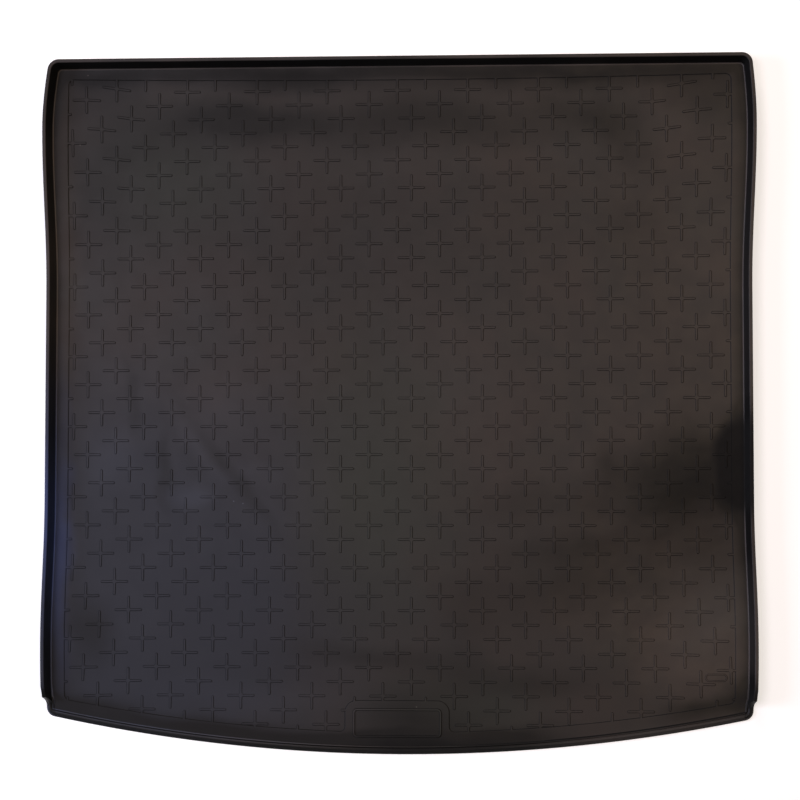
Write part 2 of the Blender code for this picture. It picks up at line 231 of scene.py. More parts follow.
def arc(centre, radius, start, end, steps):
    """Round stretch: centre + radius (cos a, sin a), the angle running evenly from start to end."""
    angle = np.radians(np.linspace(start, end, steps + 1))
    return np.column_stack([centre[0] + radius * np.cos(angle), centre[1] + radius * np.sin(angle)])


def side(width_at, start_y, end_y, steps):
    """Side of an outline: x is the half width at evenly spaced depths, ends left out."""
    y = np.linspace(start_y, end_y, steps + 1)[1:-1]
    return np.column_stack([width_at(y), y])


def front(edge_y, radius, from_x, to_x, steps):
    """Curved front: y = edge + radius - sqrt(radius^2 - x^2), first point left out."""
    x = np.linspace(from_x, to_x, steps + 1)[1:]
    return np.column_stack([x, edge_y + radius - np.sqrt(radius ** 2 - x ** 2)])


def front_corner(width_at, radius, edge_y, edge_radius):
    """Centre of the corner that touches the side and the curved front, and its end angle.

    The centre is one radius inside the side and one radius inside the front's circle. Its depth
    and the half width there depend on each other, so both are found in a few rounds.
    """
    circle_y = edge_y + edge_radius
    y = edge_y + radius
    for meeting in range(MEETING_ROUNDS):
        x = float(width_at(y)) - radius
        y = circle_y - math.sqrt((edge_radius - radius) ** 2 - x ** 2)
    return (x, y), math.degrees(math.atan2(y - circle_y, x))


def mirrored(right_half):
    """Closed anticlockwise outline from its right half, which runs from the rear to the front."""
    left = right_half[right_half[:, 0] > ON_AXIS] * (-1, 1)
    return np.vstack([left, right_half[::-1]])


def rim_outline():
    """Outer line of the rim in plan, and how much of the full wall stands at each point."""
    edge_y = FRONT_Y - LIP_SET_IN
    edge_radius = FRONT_EDGE_RADIUS + LIP_SET_IN
    corner_y = REAR_Y - REAR_CORNER_RADIUS
    rear_centre = (float(rim_x(corner_y)) - REAR_CORNER_RADIUS, corner_y)
    centre, end = front_corner(rim_x, FRONT_CORNER_RADIUS, edge_y, edge_radius)
    ramp_y = centre[1] + RAMP_LENGTH
    corner = arc(centre, FRONT_CORNER_RADIUS, 0, end, CORNER_STEPS)
    points = np.vstack([
        arc(rear_centre, REAR_CORNER_RADIUS, 90, 0, CORNER_STEPS),
        side(rim_x, corner_y, ramp_y, SIDE_STEPS),
        side(rim_x, ramp_y + JUST_BEYOND, centre[1], RAMP_STEPS),
        corner,
        front(edge_y, edge_radius, corner[-1, 0], 0.0, LIP_STEPS),
    ])
    points = mirrored(points)
    past = np.clip(1 - (REAR_Y - points[:, 1]) / CORNER_PULL_LENGTH, 0, 1) ** CORNER_PULL_POWER
    points[:, 0] += past * np.where(points[:, 0] < 0, LEFT_CORNER_PULL, -RIGHT_CORNER_PULL)
    share = np.clip((points[:, 1] - centre[1]) / RAMP_LENGTH, 0, 1) ** RAMP_POWER
    return points, share


def rounded(corners, radii):
    """Open line with its inner corners rounded.

    At a corner of radius r the line leaves its sides at r tan(turn / 2) and follows the
    quadratic curve through those two points with the corner as its control point.
    """
    corners = np.array(corners)
    points = [corners[:1]]
    t = np.linspace(0, 1, SECTION_CORNER_STEPS + 1)[:, None]
    for before, here, after, radius in zip(corners, corners[1:], corners[2:], radii):
        back = (before - here) / np.linalg.norm(before - here)
        on = (after - here) / np.linalg.norm(after - here)
        turn = math.pi - math.acos(np.clip(back @ on, -1, 1))
        cut = radius * math.tan(turn / 2)
        start, end = here + back * cut, here + on * cut
        points.append((1 - t) ** 2 * start + 2 * t * (1 - t) * here + t ** 2 * end)
    points.append(corners[-1:])
    return np.vstack(points)


def wall_section():
    """Wall section from the underside round the rim to the margin."""
    slope = WALL_LEAN / (RIM_HEIGHT - MARGIN_Z - FOOT_FILLET)
    inner_top = FLANGE_OVERHANG + WALL_THICKNESS
    foot = inner_top + slope * (RIM_HEIGHT - MARGIN_Z)
    corners = [
        (inner_top + UNDERSIDE_PAST_WALL, 0.0),
        (FLANGE_OVERHANG + slope * RIM_HEIGHT, 0.0),
        (FLANGE_OVERHANG + slope * FLANGE_THICKNESS, RIM_HEIGHT - FLANGE_THICKNESS),
        (0.0, RIM_HEIGHT - FLANGE_THICKNESS + FLANGE_TAPER),
        (0.0, RIM_HEIGHT),
        (inner_top, RIM_HEIGHT),
        (foot, MARGIN_Z),
        (foot + MARGIN_PAST_WALL, MARGIN_Z),
    ]
    return rounded(corners, WALL_CORNER_RADII)


def lip_section():
    """Lip section with as many points as the wall's, so that one can turn into the other."""
    corners = [
        (LIP_SET_IN + UNDERSIDE_PAST_LIP, 0.0),
        (LIP_SET_IN + LIP_UNDERCUT[0], 0.0),
        (LIP_SET_IN, LIP_UNDERCUT[1]),
        (LIP_SET_IN, LIP_EDGE_HEIGHT),
        (LIP_SET_IN + OUTER_BEAD[0], OUTER_BEAD[1]),
        (LIP_SET_IN + GROOVE[0], GROOVE[1]),
        (LIP_SET_IN + INNER_BEAD[0], INNER_BEAD[1]),
        (LIP_SET_IN + LIP_WIDTH, MARGIN_Z),
    ]
    return rounded(corners, LIP_CORNER_RADII)


def inward_steps(points):
    """For each point of a closed anticlockwise line, the mitred move that steps it in by one."""
    before = points - np.roll(points, 1, axis=0)
    after = np.roll(before, -1, axis=0)
    n1 = np.column_stack([-before[:, 1], before[:, 0]]) / np.linalg.norm(before, axis=1)[:, None]
    n2 = np.column_stack([-after[:, 1], after[:, 0]]) / np.linalg.norm(after, axis=1)[:, None]
    return (n1 + n2) / (1 + (n1 * n2).sum(1))[:, None]


def band_faces(levels, count):
    """Four-sided faces between closed rings of equal count, stacked level by level."""
    level = np.arange(levels - 1)[:, None] * count
    here = np.arange(count)[None, :]
    after = (here + 1) % count
    faces = np.stack([level + here, level + after, level + count + after, level + count + here], -1)
    return faces.reshape(-1, 4)


def mesh_object(name, vertices, faces):
    """A mesh object from an array of vertices and lists of faces."""
    mesh = bpy.data.meshes.new(name)
    mesh.from_pydata(vertices.tolist(), [], faces)
    mesh.validate()
    item = bpy.data.objects.new(name, mesh)
    bpy.context.scene.collection.objects.link(item)
    return item


def closed_stack(name, rings):
    """A closed object from stacked rings: the bands between them, a bottom face and a top face."""
    levels, count = rings.shape[:2]
    faces = band_faces(levels, count).tolist()
    faces.append(list(range(count))[::-1])
    faces.append(list(range((levels - 1) * count, levels * count)))
    return mesh_object(name, rings.reshape(-1, 3), faces)


def tray():
    """The mat before its recess.

    At each point of the outline the section is lip + (wall - lip) * share, and every section
    point is set in from the outline by its own distance along the mitred inward step.
    """
    points, share = rim_outline()
    moves = inward_steps(points)
    wall, lip = wall_section(), lip_section()
    section = lip[:, None, :] + (wall - lip)[:, None, :] * share[None, :, None]
    plan = points[None] + moves[None] * section[:, :, :1]
    return closed_stack("moulded_mat", np.concatenate([plan, section[:, :, 1:]], axis=2))


def field_outline():
    """Closed edge of the recessed field, anticlockwise, stepping round the label plateau."""
    rear_y = REAR_Y - FIELD_FROM_REAR + FIELD_REAR_BOW
    edge_y = FRONT_Y + FIELD_FROM_FRONT
    corner_y = rear_y - FIELD_CORNER_RADIUS
    rear_x = float(field_x(corner_y)) - FIELD_CORNER_RADIUS
    centre, end = front_corner(field_x, FIELD_CORNER_RADIUS, edge_y, FIELD_FRONT_RADIUS)
    foot_x = PLATEAU_HALF_WIDTH + PLATEAU_FOOT_RADIUS
    foot_y = edge_y + FIELD_FRONT_RADIUS - math.sqrt(FIELD_FRONT_RADIUS ** 2 - foot_x ** 2)
    top_y = FRONT_Y + PLATEAU_TOP_FROM_FRONT
    middle = (PLATEAU_HALF_WIDTH - PLATEAU_CORNER_RADIUS, top_y - PLATEAU_CORNER_RADIUS)
    share = np.linspace(0, 1, FIELD_REAR_STEPS + 1)[1:-1]
    foot = (foot_x, foot_y + PLATEAU_FOOT_RADIUS)
    corner = arc(centre, FIELD_CORNER_RADIUS, 0, end, FIELD_CORNER_STEPS)
    points = np.vstack([
        np.column_stack([rear_x * share, rear_y - FIELD_REAR_BOW * (1 - share ** 2)]),
        arc((rear_x, corner_y), FIELD_CORNER_RADIUS, 90, 0, FIELD_CORNER_STEPS),
        side(field_x, corner_y, centre[1], SIDE_STEPS),
        corner,
        front(edge_y, FIELD_FRONT_RADIUS, corner[-1, 0], foot_x, FIELD_FRONT_STEPS)[:-1],
        arc(foot, PLATEAU_FOOT_RADIUS, 270, 180, PLATEAU_FOOT_STEPS),
        arc(middle, PLATEAU_CORNER_RADIUS, 0, 90, PLATEAU_CORNER_STEPS),
    ])
    return mirrored(points)


def ring_stack(outline, levels):
    """Rings along one closed line, one for each (step inward, height) level."""
    moves = inward_steps(outline)
    inward, height = np.array(levels).T
    plan = outline[None] + moves[None] * inward[:, None, None]
    return np.dstack([plan, np.broadcast_to(height[:, None], plan.shape[:2])])


def recess(outline):
    """The space taken out of the floor, with a rounded foot and a rounded upper edge."""
    return closed_stack("recess", ring_stack(outline, FIELD_STEP))


def rib_ring(outline, rib_width, low, height):
    """A closed flat-topped rib inside an outline, as rings from its root over its top and back."""
    slope, rounding = RING_SLOPE * rib_width, RING_ROUNDING * rib_width
    foot, foot_height = slope * RING_FOOT[0], low + height * RING_FOOT[1]
    return ring_stack(outline, [
        (0.0, low - RIB_ROOT),
        (0.0, low),
        (foot, foot_height),
        (slope, low + height * RING_SHOULDER),
        (slope + rounding, low + height),
        (rib_width - slope - rounding, low + height),
        (rib_width - slope, low + height * RING_SHOULDER),
        (rib_width - foot, foot_height),
        (rib_width, low),
        (rib_width, low - RIB_ROOT),
    ])


def rounded_rectangle(centre, width, depth, radius, steps):
    """A rectangle with round corners, anticlockwise from its right side."""
    x, y = width / 2 - radius, depth / 2 - radius
    corners = ((1, 1, 0), (-1, 1, 90), (-1, -1, 180), (1, -1, 270))
    return np.vstack([arc((centre[0] + sx * x, centre[1] + sy * y), radius, start, start + 90, steps)
                      for sx, sy, start in corners])


def stadium(centre, length, depth, steps):
    """An oval with two straight sides and two half-round ends, anticlockwise."""
    x = (length - depth) / 2
    return np.vstack([arc((centre[0] + x, centre[1]), depth / 2, -90, 90, steps),
                      arc((centre[0] - x, centre[1]), depth / 2, 90, 270, steps)])


def eased(plan):
    """Points of the pattern drawn towards their corner of the mat.

    The share s runs from 0 to 1 over the last stretch before the side, smoothed as s^2 (3 - 2 s).
    The outward move is s times the two raised cosines from the rear and the front edge, the
    rearward move is a like share, which starts a little earlier, times the rear one alone, and the
    forward move is s times the front one.
    """
    x, y = plan[..., 0], plan[..., 1]
    past = np.clip((np.abs(x) - (HALF_WIDTH - EASE_FROM_EDGE)) / EASE_WIDTH, 0, 1)
    past_early = np.clip((np.abs(x) - (HALF_WIDTH - EASE_BACK_FROM_EDGE)) / EASE_WIDTH, 0, 1)
    near_side = past ** 2 * (3 - 2 * past)
    near_side_early = past_early ** 2 * (3 - 2 * past_early)
    near_rear = bump(y - REAR_Y, EASE_DEPTH)
    near_front = bump(y - FRONT_Y, EASE_DEPTH)
    out = EASE_OUT * near_side * (near_rear + near_front)
    back = EASE_BACK * near_side_early * near_rear - EASE_FORWARD * near_side * near_front
    return np.stack([x + np.copysign(out, x), y + back], -1)


def in_field(plan, outline):
    """Which eased points lie inside the outline, by counting the edges crossed to their right."""
    point = eased(plan)
    x, y = point[..., 0, None], point[..., 1, None]
    x1, y1 = outline.T
    x2, y2 = np.roll(outline, -1, axis=0).T
    level = np.where(y2 == y1, 1.0, y2 - y1)
    crossed = ((y1 > y) != (y2 > y)) & (x < x1 + (y - y1) * (x2 - x1) / level)
    return crossed.sum(-1) % 2 == 1


ALONG = np.array([(1, 0), (0, 1), (-1, 0), (0, -1)], float)
ACROSS = np.array([(0, 1), (-1, 0), (0, -1), (1, 0)], float)


def reach(start, direction, outline):
    """How far each start point can go along its direction inside the field, by halving."""
    near = np.zeros(start.shape[:-1])
    far = np.full(start.shape[:-1], RIB_ARM)
    for halving in range(HALVINGS):
        middle = (near + far) / 2
        inside = in_field(start + direction * middle[..., None], outline)
        near = np.where(inside, middle, near)
        far = np.where(inside, far, middle)
    return far


def rib_levels():
    """Levels of a cross rib as (step inward, height): root, foot, rounded edge, top."""
    return (
        (0.0, FIELD_Z - RIB_ROOT),
        (0.0, FIELD_Z),
        (RIB_SLOPE, FIELD_Z + RIB_HEIGHT * RIB_SHOULDER),
        (RIB_TOP_SET_IN, FIELD_Z + RIB_HEIGHT),
    )


def cross_plan(lengths, inward):
    """Outline of each cross at one step inward: four round tips and four rounded crotches.

    A tip is an arc of radius w - inward about the point L - w along its arm, a crotch is an arc
    of radius r + inward about the point (w + r, w + r) between two arms.
    """
    half = RIB_WIDTH / 2
    tip = np.radians(np.linspace(-90, 90, RIB_TIP_STEPS + 1))
    crotch = np.radians([270, 180])
    far = half + CROTCH_RADIUS
    tip_along = (lengths - half)[:, :, None] + (half - inward) * np.cos(tip)
    tip_across = np.broadcast_to((half - inward) * np.sin(tip), tip_along.shape)
    shape = (len(lengths), 4, len(crotch))
    crotch_along = np.broadcast_to(far + (CROTCH_RADIUS + inward) * np.cos(crotch), shape)
    crotch_across = np.broadcast_to(far + (CROTCH_RADIUS + inward) * np.sin(crotch), shape)
    along = np.concatenate([tip_along, crotch_along], axis=2)[..., None]
    across = np.concatenate([tip_across, crotch_across], axis=2)[..., None]
    plan = along * ALONG[None, :, None] + across * ACROSS[None, :, None]
    return plan.reshape(len(lengths), -1, 2)


def stub_plan(length, heel, direction, inward):
    """Outline of each arm end: a round tip, and a straight heel hidden in the margin."""
    half = RIB_WIDTH / 2
    tip = np.radians(np.linspace(-90, 90, RIB_TIP_STEPS + 1))
    along = length - half + (half - inward) * np.cos(tip)
    across = (half - inward) * np.sin(tip)
    count = len(heel)
    along = np.hstack([np.tile(along, (count, 1)), heel[:, None], heel[:, None]])
    across = np.tile(np.append(across, [half - inward, inward - half]), (count, 1))
    along = along[..., None] * ALONG[direction][:, None]
    return along + across[..., None] * ACROSS[direction][:, None]


def prisms(centres, plans):
    """Closed bodies from stacked outlines, as vertices and arrays of faces.

    The plans are one array of outlines for each rib level. Each body has its root face, one band
    of four-sided faces between two levels, and its flat top.
    """
    heights = np.array([height for inward, height in rib_levels()])
    plan = eased(np.stack(plans, axis=1) + centres[:, None, None])
    count, levels, size = plan.shape[:3]
    height = np.broadcast_to(heights[None, :, None, None], (count, levels, size, 1))
    vertices = np.concatenate([plan, height], axis=3).reshape(-1, 3)
    first = np.arange(count)[:, None] * levels * size
    ring = np.arange(size)
    bands = (band_faces(levels, size)[None] + first[:, None]).reshape(-1, 4)
    return vertices, [bands, first + ring[::-1], first + (levels - 1) * size + ring]


def crosses(outline):
    """All cross ribs: whole ones, ones cut by the field's edge, and ends that reach in."""
    span = int(2 * HALF_WIDTH / min(RIB_STEP) / 2) + 2
    i, j = np.meshgrid(np.arange(-span, span + 1), np.arange(-span, span + 1), indexing="ij")
    i, j = i.ravel(), j.ravel()
    centre = np.column_stack([RIB_STEP[0] * (2 * i + j), MIDDLE_CROSS_Y + RIB_STEP[1] * (i - 2 * j)])
    near = (np.abs(centre[:, 0]) < HALF_WIDTH) & (centre[:, 1] > FRONT_Y) & (centre[:, 1] < REAR_Y)
    centre = centre[near]
    half = RIB_WIDTH / 2
    tips = centre[:, None] + RIB_ARM * ALONG
    tip_inside = in_field(tips, outline)
    spread = np.array([(0, 0), (half, 0), (-half, 0), (0, half), (0, -half)])
    whole = in_field(centre[:, None] + spread, outline).any(1)
    beside = np.stack([in_field(tips + ACROSS * side_step, outline) for side_step in (-half, half)])
    free = tip_inside | beside.any(0)
    edge = reach(np.broadcast_to(centre[:, None], tips.shape), ALONG, outline)
    lengths = np.where(free, RIB_ARM, np.minimum(edge + RIB_BITE, RIB_ARM))[whole]
    levels = rib_levels()
    whole_plans = [cross_plan(lengths, inward) for inward, height in levels]
    index, direction = np.nonzero(tip_inside & ~whole[:, None])
    seen = reach(tips[index, direction], -ALONG[direction], outline)
    keep = seen > half
    index, direction, seen = index[keep], direction[keep], seen[keep]
    heel = np.maximum(RIB_ARM - seen - RIB_BITE, half * SHORTEST_STUB)
    stub_plans = [stub_plan(RIB_ARM, heel, direction, inward) for inward, height in levels]
    return [prisms(centre[whole], whole_plans), prisms(centre[index], stub_plans)]


def raised_pattern(outline):
    """Everything that stands on the floor, as one object of separate closed bodies."""
    frame_centre = (0.0, FRONT_Y + FRAME_FROM_FRONT + FRAME_DEPTH / 2)
    label = rounded_rectangle(frame_centre, FRAME_WIDTH, FRAME_DEPTH, FRAME_CORNER_RADIUS,
                              FRAME_CORNER_STEPS)
    oval = stadium(OVAL_CENTRE, OVAL_LENGTH, OVAL_DEPTH, OVAL_END_STEPS)
    bodies = crosses(outline)
    for rings in (rib_ring(label, FRAME_RIB, MARGIN_Z, FRAME_HEIGHT),
                  rib_ring(oval, OVAL_RIB, FIELD_Z, RIB_HEIGHT)):
        levels, count = rings.shape[:2]
        ring = np.arange(count)
        last = ring + (levels - 1) * count
        underside = np.column_stack([last, np.roll(last, -1), np.roll(ring, -1), ring])
        bodies.append((rings.reshape(-1, 3), [band_faces(levels, count), underside]))
    vertices, faces, first = [], [], 0
    for body_vertices, face_arrays in bodies:
        vertices.append(body_vertices)
        for face_array in face_arrays:
            faces += (face_array + first).tolist()
        first += len(body_vertices)
    return mesh_object("raised_pattern", np.vstack(vertices), faces)


def combined(item, other, operation):
    """Apply an exact Boolean with another object, which is then removed."""
    modifier = item.modifiers.new(other.name, "BOOLEAN")
    modifier.operation = operation
    modifier.solver = "EXACT"
    modifier.object = other
    graph = bpy.context.evaluated_depsgraph_get()
    graph.update()
    mesh = bpy.data.meshes.new_from_object(item.evaluated_get(graph))
    item.modifiers.clear()
    old = item.data
    item.data = mesh
    bpy.data.meshes.remove(old)
    bpy.data.objects.remove(other, do_unlink=True)


def linear(code):
    """Linear RGBA of an sRGB hex colour: c / 12.92 below 0.04045, else ((c + 0.055) / 1.055)^2.4."""
    values = [int(code[start:start + 2], 16) / 255 for start in (1, 3, 5)]
    return [c / 12.92 if c <= 0.04045 else ((c + 0.055) / 1.055) ** 2.4 for c in values] + [1.0]


def add(tree, kind, *values, output=0, **settings):
    """Add a node with its settings and its inputs' values or links, and return one output.

    Inputs come in the order of the node's sockets, or as one dict by name. A node that has no
    output is returned itself.
    """
    node = tree.nodes.new("ShaderNode" + kind)
    for name, setting in settings.items():
        setattr(node, name, setting)
    named = values[0] if values and isinstance(values[0], dict) else dict(enumerate(values))
    for name, value in named.items():
        if isinstance(value, bpy.types.NodeSocket):
            tree.links.new(value, node.inputs[name])
        else:
            node.inputs[name].default_value = value
    return node.outputs[output] if len(node.outputs) else node


def new_material(name):
    """An empty node material and its node tree."""
    material = bpy.data.materials.new(name)
    material.use_nodes = True
    material.node_tree.nodes.clear()
    return material, material.node_tree


# The rubber's patterns, each as size, detail and roughness of its noise. The mould's grain is about
# 0.4 mm, too fine to show from here, so it is drawn at 1.8 mm.
CLOUDS = (0.110, 3.0, 0.45)
WIPES = (0.030, 2.0, 0.5)
WAVES = (0.260, 1.5, 0.4)
GRAIN = (0.0018, 2.0, 0.6)
GRAIN_STRENGTH = 0.25
GRAIN_DEPTH = 0.0002

# The part of a noise's range that is used, its mean, and how far the clouds push the patches about
NOISE_RANGE = (0.35, 0.65)
NOISE_MEAN = (0.5, 0.5, 0.5)
PATCH_SHIFT = (0.05, 0.05, 0.0)

# A range that starts and ends softly, and the shares of x, y and z that lay a place flat
SOFT = {"interpolation_type": "SMOOTHSTEP"}
IN_PLAN = (1.0, 1.0, 0.0)

# Soft patches of painted sheen and shade, where the mat lies in waves: middle (x, y), half length and
# half width, turn in degrees, and tone (-1 takes the rubber to black, +1 makes it twice as light)
SHEEN_AND_SHADE_PATCHES = (
    # painted shade and sheen of a wave along the rear edge
    (-0.235, 0.408, 0.190, 0.050, 0, -0.80),
    (0.060, 0.402, 0.360, 0.055, 0, -0.62),
    (0.315, 0.380, 0.105, 0.055, -40, -0.50),
    (0.230, 0.430, 0.070, 0.040, -20, -0.35),
    (0.000, 0.345, 0.400, 0.030, 0, 0.12),
    (0.300, 0.425, 0.090, 0.050, 0, -0.40),
    (0.000, 0.458, 0.330, 0.026, 0, -0.40),
    (-0.190, 0.464, 0.190, 0.024, 0, -0.65),
    (-0.420, 0.466, 0.090, 0.018, 0, -0.60),
    (0.280, 0.464, 0.250, 0.024, 0, -0.60),
    (0.000, 0.476, 0.900, 0.018, 0, -0.90),
    (-0.370, 0.372, 0.150, 0.060, 0, -0.40),
    (-0.150, 0.420, 0.370, 0.110, 0, -0.18),
    # painted shade at the rear corners, rear left and rear middle, and painted sheen at the right and
    # in the middle
    (0.440, 0.440, 0.140, 0.070, -20, -0.60),
    (-0.440, 0.440, 0.150, 0.070, 0, -0.55),
    (-0.430, 0.300, 0.110, 0.130, 0, -0.40),
    (-0.100, 0.260, 0.550, 0.250, 0, -0.36),
    (0.450, 0.180, 0.080, 0.220, 0, 0.22),
    (0.080, 0.020, 0.120, 0.200, 0, 0.18),
    (0.330, 0.250, 0.090, 0.060, 0, -0.25),
    # shaded dip at the right side, with its tails towards the middle
    (0.484, -0.090, 0.048, 0.098, 0, -4.20),
    (0.410, -0.098, 0.190, 0.092, 10, -1.20),
    (0.300, -0.080, 0.030, 0.050, 0, -0.40),
    (0.400, -0.030, 0.080, 0.050, 0, -0.25),
    (0.440, -0.190, 0.110, 0.060, 0, -0.40),
    (0.200, -0.140, 0.160, 0.050, 0, -0.40),
    (0.240, -0.195, 0.180, 0.035, 5, -0.40),
    (0.230, -0.250, 0.220, 0.090, 12, -0.50),
    # painted shade in streaks and painted sheen in spots left of the middle
    (-0.375, 0.000, 0.085, 0.014, -81, -0.45),
    (-0.331, -0.090, 0.085, 0.016, 90, -0.50),
    (-0.240, -0.088, 0.170, 0.017, -55, -0.50),
    (-0.405, -0.075, 0.060, 0.060, 0, 0.40),
    (-0.285, -0.045, 0.080, 0.025, -55, 0.45),
    (-0.295, -0.125, 0.045, 0.030, 0, 0.60),
    (-0.250, 0.000, 0.080, 0.070, 0, 0.30),
    (-0.220, -0.100, 0.080, 0.025, 0, 0.25),
    (-0.050, -0.150, 0.150, 0.120, 0, 0.15),
    # front: painted sheen on a light corner at the right, painted shade at the left and in a dark wave
    # in the middle
    (0.435, -0.318, 0.150, 0.130, 0, 0.65),
    (0.370, -0.370, 0.100, 0.040, 0, 0.10),
    (0.496, -0.402, 0.060, 0.045, -20, -1.50),
    (0.435, -0.422, 0.100, 0.024, 9, -1.00),
    (-0.430, -0.424, 0.120, 0.028, -9, -0.60),
    (0.200, -0.400, 0.120, 0.025, 0, -0.30),
    (-0.430, -0.320, 0.045, 0.080, 0, -0.70),
    (-0.020, -0.355, 0.190, 0.030, -4, -0.50),
    (0.120, -0.385, 0.230, 0.032, 0, -0.35),
    (0.100, -0.310, 0.070, 0.110, 0, -0.25),
    (-0.200, -0.412, 0.200, 0.040, -3, 0.30),
    (0.030, -0.438, 0.150, 0.060, 0, -0.85),
    (0.040, -0.480, 0.300, 0.034, 0, -1.70),
    (-0.250, -0.452, 0.130, 0.022, -4, -0.40),
    (0.170, -0.458, 0.120, 0.020, 5, -0.35),
    (0.350, -0.448, 0.110, 0.020, 8, 0.20),
    # painted light in a strip along the left margin
    (-0.478, -0.220, 0.230, 0.032, 90, 1.05),
    (-0.477, 0.190, 0.300, 0.036, 90, 0.85),
)

# The patches and shapes together leave at least this share of the rubber's own colour
LOWEST_TONE = 0.08

# Pale specks of grit as (x, y)
SPECKS = (
    (-0.4433, 0.4718),
    (-0.4541, 0.3720),
    (-0.2312, -0.1368),
    (-0.2181, -0.1399),
    (0.0272, -0.4241),
)
SPECK_SIZE = 0.0013
SPECK_TONE = 4.0

# The rubber's own colour goes between two browns and turns greener in three wide places. Painted
# cool light turns it cooler at the front left and blue on the left margin. Places are ellipses as
# middle (x, y), half length and half width.
BROWNS = ("#272524", "#2b2624")
COOL_LIGHT_PLACE = (-0.420, -0.270, 0.600, 0.500)
COOL_LIGHT_FULL_FROM = 0.8
COOL_LIGHT_COLOUR = "#22252d"
TINTED_AND_LIT_PLACES = (
    ((-0.030, -0.110, 0.170, 0.330), "#252723"),
    ((-0.330, 0.330, 0.200, 0.150), "#252723"),
    ((0.080, -0.430, 0.180, 0.090), "#252723"),
    # painted cool light on the left margin
    ((-0.484, -0.180, 0.034, 0.300), "#1f2a4a"),
)

# The mat lies in a shallow valley beside its right side and in slight waves elsewhere
VALLEY = (0.460, -0.245, 0.260, 0.210)
VALLEY_DEPTH = 0.014
WAVE_HEIGHT = 0.006

# Roughness from the smoother to the duller wipes, more on steep sides and in the darkest patches,
# and the strength of the sheen
ROUGHNESS = (0.51, 0.55)
SIDE_DULLNESS = 0.30
DARK_PATCH_TONES = (-0.6, -2.2)
DARK_PATCH_DULLNESS = 0.28
SHEEN = 0.26

# Painted light and shade by shape, added to the patches: the shaded margin beside the wall and
# behind the lip, painted shade on the wall, painted highlights along rim, foot and frame top, and
# painted shade on the sides of ribs and steps. The lip has painted shade with two painted
# highlights at the left, and one painted shade line at the right.
MARGIN_SHADE = -0.75
MARGIN_SHADE_REACH = 0.018
LIP_MARGIN_SHADE = -0.85
LIP_MARGIN_REACH = 0.028
LIP_MARGIN_FADE = 0.85
# painted shade on the wall's inner face
WALL_SHADE = -0.75
# painted highlights along the rim's top, the wall's foot and the frame's top
RIM_HIGHLIGHT = 0.20
FOOT_HIGHLIGHT = 1.70
FRAME_TOP_HIGHLIGHT = 0.55
# painted shade on the lip, two painted highlights at its left and a painted shade line at its right
LIP_SHADE = -0.70
LIP_HIGHLIGHTS = ((0.0073, 1.60), (0.0105, 2.80))
LIP_LINE_REACH = 0.0011
LIP_RIGHT_TONE = 0.10
LIP_SHADE_LINE = (0.0098, 0.0105, 0.0115, 0.0124)
LIP_SHADE_LINE_TONE = -2.60
# painted shade on the steep sides of ribs and steps
SIDE_SHADE = -0.80

# Where those tones change: x towards the right, distances in plan from the rim's edge, then from
# the lip's edge, and heights
RIGHT_PART = (0.05, 0.22)
MARGIN_FROM_RIM = 0.0110
WALL_END = (0.0140, 0.0150)
LIP_FROM_RIM = (0.0090, 0.0110)
MARGIN_FROM_LIP = 0.0125
LIP_END = (0.0126, 0.0132)
FLOOR_FROM_LIP = (0.0130, 0.0138)
MARGIN_HEIGHTS = (MARGIN_Z + 0.0004, MARGIN_Z + 0.00001)
FOOT_HEIGHTS = (MARGIN_Z + 0.00001, MARGIN_Z + 0.00006, MARGIN_Z + 0.0005, MARGIN_Z + 0.0010)
FACE_HEIGHTS = (MARGIN_Z + 0.0005, MARGIN_Z + 0.0015, RIM_HEIGHT - 0.0016, RIM_HEIGHT - 0.0004)
RIM_HEIGHTS = (RIM_HEIGHT - 0.0010, RIM_HEIGHT - 0.0002)
FRAME_TOP_HEIGHTS = (MARGIN_Z + FRAME_HEIGHT * 0.90, MARGIN_Z + FRAME_HEIGHT * 0.98)
SIDE_HEIGHTS = [(base + 0.00003, base + 0.00012, base + rise * 0.90, base + rise * 0.97)
                for base, rise in ((FIELD_Z, RIB_HEIGHT), (MARGIN_Z, FRAME_HEIGHT))]

# Studio paper: a round floor just under the mat and its backdrop's rise. Its glow grows from near
# the mat to full white between two distances.
PAPER_RADIUS = 20.0
PAPER_RISE = 5.0
PAPER_SIDES = 96
PAPER_Z = -0.0002
PAPER_COLOUR = "#d8d8d8"
PAPER_NEAR_GLOW = 0.55
PAPER_GLOW_GROWS = (1.0, 6.0)

# Dim surround
SURROUND_COLOUR = "#e4e6ea"
SURROUND_STRENGTH = 0.04

# Lamps as name, place, size, power in watts and colour
SOFTBOXES = (
    ("left_softbox", (-1.5, 0.4, 3.8), 1.5, 60.0, "#e4dcea"),
    ("right_softbox", (1.3, 0.5, 3.8), 1.5, 57.0, "#ffe0c0"),
    ("low_left_softbox", (-3.0, 0.2, 1.8), 1.2, 82.0, "#d6daf2"),
    ("rear_softbox", (-0.4, 3.0, 1.8), 1.2, 26.0, "#fff0e4"),
)

# Camera: place, turn in degrees, lens and sensor in millimetres
CAMERA_PLACE = (0.1231, -0.1056, 2.5924)
CAMERA_TURN = (2.465, 2.632, 0.008)
CAMERA_LENS = 82.8
CAMERA_SENSOR = 36.0


def between(tree, value, rise_start, rise_end, fall_start, fall_end):
    """One from the end of the rise to the start of the fall, softly down to nought on both sides."""
    rise = add(tree, "MapRange", value, rise_start, rise_end, **SOFT)
    fall = add(tree, "MapRange", value, fall_end, fall_start, **SOFT)
    return add(tree, "Math", rise, fall, operation="MULTIPLY")


